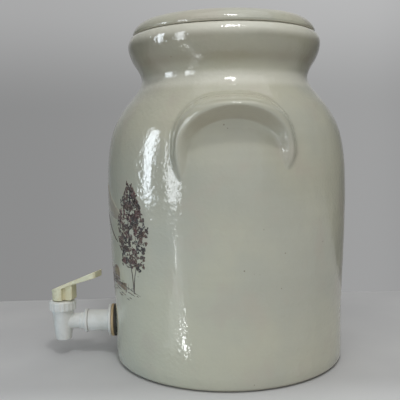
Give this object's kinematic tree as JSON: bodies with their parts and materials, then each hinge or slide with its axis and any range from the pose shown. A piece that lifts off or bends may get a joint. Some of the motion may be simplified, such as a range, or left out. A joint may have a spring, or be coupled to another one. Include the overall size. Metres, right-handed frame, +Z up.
{
  "type": "lidded ceramic crock with tap",
  "caption": "Glazed stoneware crock for brewing and drinks, with a loose lid, lug handles and a plastic lever tap near its base.",
  "frame": {"origin": "centre of the crock's flat base, on its turning axis", "axes": "+Z up along the crock's axis; the tap points along -Y and the lug handles lie on the X axis"},
  "size_m": [0.279, 0.318, 0.3575],
  "materials": {
    "glaze": "clear gloss glaze over a grey-cream stoneware slip",
    "white_plastic": "moulded satin white",
    "cream_plastic": "moulded satin, yellowed cream",
    "tan_rubber": "matt gum rubber",
    "dark_rubber": "matt black rubber",
    "silicone": "satin translucent silicone",
    "steel": "drawn stainless wire and pressed sheet"
  },
  "bodies": {
    "crock": {"crock_body": "glaze", "faucet_body": "white_plastic", "shank_sleeve": "white_plastic", "outer_washer": "tan_rubber", "wall_washer": "dark_rubber", "inner_washer": "tan_rubber", "shank_nut": "white_plastic", "bonnet": "white_plastic", "spring_washer": "steel", "closing_spring": "steel"},
    "lid": {"lid": "glaze"},
    "seat": {"seat_cup": "silicone"},
    "stem": {"valve_stem": "white_plastic"},
    "lever": {"lever_handle": "cream_plastic", "handle_pin": "steel"}
  },
  "joints": [
    {"name": "lid_lift", "type": "slide", "parent": "crock", "child": "lid", "axis": [0, 0, 1], "range_m": [0, 0.12]},
    {"name": "seat_lift", "type": "slide", "parent": "crock", "child": "seat", "axis": [0, 0, 1], "range_m": [0, 0.00436], "stiffness_N_per_m": 600, "springref_m": -0.005, "deforming": ["closing_spring"]},
    {"name": "lever_swivel", "type": "hinge", "parent": "seat", "child": "stem", "pos_m": [0, -0.1788, 0.055], "axis": [0, 0, 1], "continuous": true},
    {"name": "lever_tilt", "type": "hinge", "parent": "stem", "child": "lever", "pos_m": [0, -0.1788, 0.0685], "axis": [-0.9397, 0.342, 0], "range_deg": [0, 20], "stiffness_Nm_per_rad": 0.02, "springref_deg": -5.73}
  ],
  "couplings": [
    {"joint": "lever_tilt", "follows": "seat_lift", "rad_per_m": 80}
  ]
}
